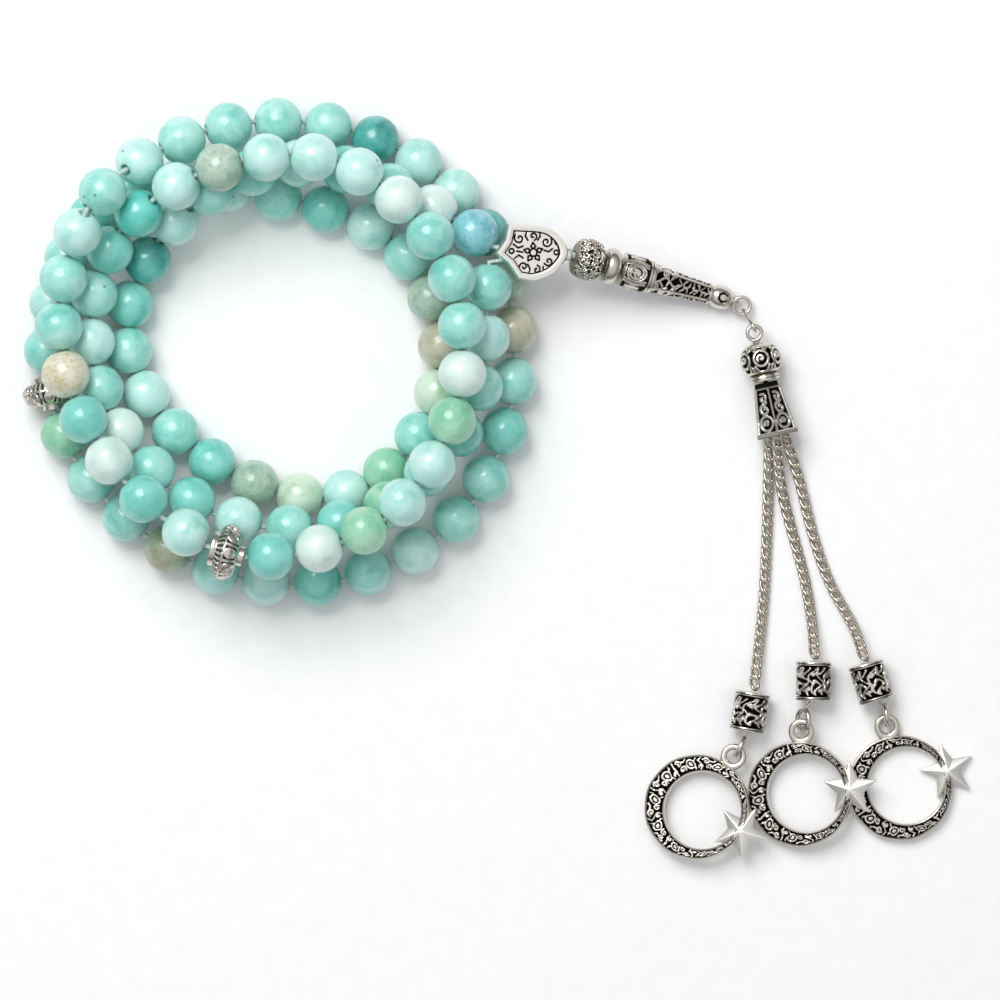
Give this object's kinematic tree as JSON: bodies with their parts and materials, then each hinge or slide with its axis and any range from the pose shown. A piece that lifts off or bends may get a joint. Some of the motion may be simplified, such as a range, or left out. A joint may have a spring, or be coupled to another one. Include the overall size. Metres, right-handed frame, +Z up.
{
  "type": "prayer beads",
  "caption": "Misbaha: round stone beads with metal dividers on one thread, laid in loose turns, with a metal leader and a chain tassel of crescent and star charms.",
  "frame": {"origin": "middle of the whole object's bounding box in plan, on the surface it lies on", "axes": "+Z up from the surface; +X from the coil of beads towards the tassel; +Y away from the charms"},
  "size_m": [0.1589, 0.1273, 0.023],
  "materials": {
    "amazonite": "polished",
    "antique_silver": "antiqued, bright on the high points and black in the recesses",
    "waxed_thread": "waxed"
  },
  "bodies": {
    "strand": {"bead_run_01": "amazonite", "bead_run_02": "amazonite", "bead_run_03": "amazonite", "bead_run_04": "amazonite", "bead_run_05": "amazonite", "bead_run_06": "amazonite", "bead_run_07": "amazonite", "bead_run_08": "amazonite", "bead_run_09": "amazonite", "bead_run_10": "amazonite", "bead_run_11": "amazonite", "bead_run_12": "amazonite", "bead_run_13": "amazonite", "bead_run_14": "amazonite", "bead_run_15": "amazonite", "bead_run_16": "amazonite", "bead_run_17": "amazonite", "bead_run_18": "amazonite", "bead_run_19": "amazonite", "bead_run_20": "amazonite", "bead_run_21": "amazonite", "bead_run_22": "amazonite", "leader_cord": "waxed_thread", "shield_bead": "antique_silver", "thread": "waxed_thread"},
    "bead_02": {"bead_02": "amazonite"},
    "bead_19": {"bead_19": "amazonite"},
    "bead_30": {"bead_30": "amazonite"},
    "bead_40": {"bead_40": "amazonite"},
    "bead_56": {"bead_56": "amazonite"},
    "bead_97": {"bead_97": "amazonite"},
    "divider_1": {"divider_1": "antique_silver"},
    "divider_2": {"divider_2": "antique_silver"},
    "leader": {"imame_body": "antique_silver", "leader_core": "waxed_thread"},
    "barrel": {"barrel_bead": "antique_silver"},
    "rondelle": {"rondelle_bead": "antique_silver"},
    "jump_ring": {"jump_ring": "antique_silver"},
    "long_link": {"long_link": "antique_silver"},
    "cap": {"cap_ball": "antique_silver", "cap_bell": "antique_silver", "eye_pin": "antique_silver"},
    "chain_left_1": {"chain_left_1": "antique_silver"},
    "chain_left_2": {"chain_left_2": "antique_silver"},
    "chain_left_3": {"chain_left_3": "antique_silver"},
    "eye_wire_left": {"eye_wire_left": "antique_silver"},
    "cylinder_left": {"cylinder_left": "antique_silver"},
    "charm_left": {"charm_left": "antique_silver"},
    "chain_middle_1": {"chain_middle_1": "antique_silver"},
    "chain_middle_2": {"chain_middle_2": "antique_silver"},
    "chain_middle_3": {"chain_middle_3": "antique_silver"},
    "eye_wire_middle": {"eye_wire_middle": "antique_silver"},
    "cylinder_middle": {"cylinder_middle": "antique_silver"},
    "charm_middle": {"charm_middle": "antique_silver"},
    "chain_right_1": {"chain_right_1": "antique_silver"},
    "chain_right_2": {"chain_right_2": "antique_silver"},
    "chain_right_3": {"chain_right_3": "antique_silver"},
    "eye_wire_right": {"eye_wire_right": "antique_silver"},
    "cylinder_right": {"cylinder_right": "antique_silver"},
    "charm_right": {"charm_right": "antique_silver"}
  },
  "joints": [
    {"name": "bead_02_spin", "type": "hinge", "parent": "strand", "child": "bead_02", "pos_m": [-0.00228, 0.02357, 0.01076], "axis": [-0.0319, -0.9932, -0.1118], "continuous": true},
    {"name": "bead_19_spin", "type": "hinge", "parent": "strand", "child": "bead_19", "pos_m": [-0.04625, 0.05136, 0.01866], "axis": [0.9539, 0.2984, 0.0302], "continuous": true},
    {"name": "bead_30_spin", "type": "hinge", "parent": "strand", "child": "bead_30", "pos_m": [-0.01607, -0.00379, 0.01763], "axis": [-0.7069, -0.7073, -0.0071], "continuous": true},
    {"name": "bead_40_spin", "type": "hinge", "parent": "strand", "child": "bead_40", "pos_m": [-0.07213, 0.03315, 0.01597], "axis": [0.2122, 0.9751, 0.0638], "continuous": true},
    {"name": "bead_56_spin", "type": "hinge", "parent": "strand", "child": "bead_56", "pos_m": [-0.00234, 0.0002, 0.00407], "axis": [-0.4555, -0.8902, 0], "continuous": true},
    {"name": "bead_97_spin", "type": "hinge", "parent": "strand", "child": "bead_97", "pos_m": [-0.01819, 0.04858, 0.01029], "axis": [0.9046, -0.4258, -0.0188], "continuous": true},
    {"name": "divider_1_spin", "type": "hinge", "parent": "strand", "child": "divider_1", "pos_m": [-0.04505, -0.01201, 0.01637], "axis": [-0.9625, 0.2704, -0.0223], "continuous": true},
    {"name": "divider_2_spin", "type": "hinge", "parent": "strand", "child": "divider_2", "pos_m": [-0.07499, 0.01448, 0.00475], "axis": [-0.1823, 0.9832, 0], "continuous": true},
    {"name": "imame_swing", "type": "hinge", "parent": "strand", "child": "leader", "pos_m": [0.01192, 0.03729, 0.0094], "axis": [0, 0, 1], "range_deg": [-5, 5]},
    {"name": "barrel_spin", "type": "hinge", "parent": "leader", "child": "barrel", "pos_m": [0.01452, 0.03659, 0.00864], "axis": [0.9292, -0.2525, -0.2699], "continuous": true},
    {"name": "rondelle_spin", "type": "hinge", "parent": "leader", "child": "rondelle", "pos_m": [0.01838, 0.03554, 0.00752], "axis": [0.9292, -0.2525, -0.2699], "continuous": true},
    {"name": "jump_ring_swing", "type": "hinge", "parent": "leader", "child": "jump_ring", "pos_m": [0.03921, 0.02985, 0.0015], "axis": [0, 0, 1], "range_deg": [-5, 5]},
    {"name": "long_link_swing", "type": "hinge", "parent": "jump_ring", "child": "long_link", "pos_m": [0.04088, 0.02824, 0.00099], "axis": [0, 0, 1], "range_deg": [-5, 5]},
    {"name": "cap_swing", "type": "hinge", "parent": "long_link", "child": "cap", "pos_m": [0.0425, 0.0245, 0.00405], "axis": [0, 0, 1], "range_deg": [-6, 6]},
    {"name": "chain_left_1_swing", "type": "hinge", "parent": "cap", "child": "chain_left_1", "pos_m": [0.04496, 0.00857, 0.00355], "axis": [0, 0, 1], "range_deg": [-3, 1]},
    {"name": "chain_left_2_swing", "type": "hinge", "parent": "chain_left_1", "child": "chain_left_2", "pos_m": [0.04478, -0.0057, 0.00087], "axis": [0, 0, 1], "range_deg": [-3, 1]},
    {"name": "chain_left_3_swing", "type": "hinge", "parent": "chain_left_2", "child": "chain_left_3", "pos_m": [0.04408, -0.02054, 0.00088], "axis": [0, 0, 1], "range_deg": [-3, 1]},
    {"name": "eye_wire_left_swing", "type": "hinge", "parent": "chain_left_3", "child": "eye_wire_left", "pos_m": [0.04233, -0.03525, 0.0031], "axis": [0, 0, 1], "range_deg": [-4, 3]},
    {"name": "cylinder_left_spin", "type": "hinge", "parent": "eye_wire_left", "child": "cylinder_left", "pos_m": [0.04228, -0.03555, 0.0031], "axis": [-0.165, -0.9863, 0], "continuous": true},
    {"name": "charm_left_swing", "type": "hinge", "parent": "eye_wire_left", "child": "charm_left", "pos_m": [0.03965, -0.04553, 0.00213], "axis": [0, 0, 1], "range_deg": [-5, 5]},
    {"name": "chain_middle_1_swing", "type": "hinge", "parent": "cap", "child": "chain_middle_1", "pos_m": [0.04603, 0.00881, 0.00525], "axis": [0, 0, 1], "range_deg": [-1, 3]},
    {"name": "chain_middle_2_swing", "type": "hinge", "parent": "chain_middle_1", "child": "chain_middle_2", "pos_m": [0.04758, -0.00372, 0.0014], "axis": [0, 0, 1], "range_deg": [-1, 3]},
    {"name": "chain_middle_3_swing", "type": "hinge", "parent": "chain_middle_2", "child": "chain_middle_3", "pos_m": [0.05099, -0.01673, 0.00087], "axis": [0, 0, 1], "range_deg": [-1, 3]},
    {"name": "eye_wire_middle_swing", "type": "hinge", "parent": "chain_middle_3", "child": "eye_wire_middle", "pos_m": [0.05249, -0.03005, 0.0031], "axis": [0, 0, 1], "range_deg": [-3, 4]},
    {"name": "cylinder_middle_spin", "type": "hinge", "parent": "eye_wire_middle", "child": "cylinder_middle", "pos_m": [0.05248, -0.03035, 0.0031], "axis": [-0.0174, -0.9998, 0], "continuous": true},
    {"name": "charm_middle_swing", "type": "hinge", "parent": "eye_wire_middle", "child": "charm_middle", "pos_m": [0.05063, -0.04112, 0.00205], "axis": [0, 0, 1], "range_deg": [-5, 5]},
    {"name": "chain_right_1_swing", "type": "hinge", "parent": "cap", "child": "chain_right_1", "pos_m": [0.04711, 0.00906, 0.00355], "axis": [0, 0, 1], "range_deg": [-2, 3]},
    {"name": "chain_right_2_swing", "type": "hinge", "parent": "chain_right_1", "child": "chain_right_2", "pos_m": [0.05106, -0.004, 0.00102], "axis": [0, 0, 1], "range_deg": [-2, 3]},
    {"name": "chain_right_3_swing", "type": "hinge", "parent": "chain_right_2", "child": "chain_right_3", "pos_m": [0.05529, -0.01749, 0.00086], "axis": [0, 0, 1], "range_deg": [-2, 3]},
    {"name": "eye_wire_right_swing", "type": "hinge", "parent": "chain_right_3", "child": "eye_wire_right", "pos_m": [0.061, -0.03036, 0.0031], "axis": [0, 0, 1], "range_deg": [-4, 4]},
    {"name": "cylinder_right_spin", "type": "hinge", "parent": "eye_wire_right", "child": "cylinder_right", "pos_m": [0.06108, -0.03065, 0.0031], "axis": [0.284, -0.9588, 0], "continuous": true},
    {"name": "charm_right_swing", "type": "hinge", "parent": "eye_wire_right", "child": "charm_right", "pos_m": [0.06468, -0.04038, 0.00104], "axis": [0, 0, 1], "range_deg": [-5, 5]}
  ]
}
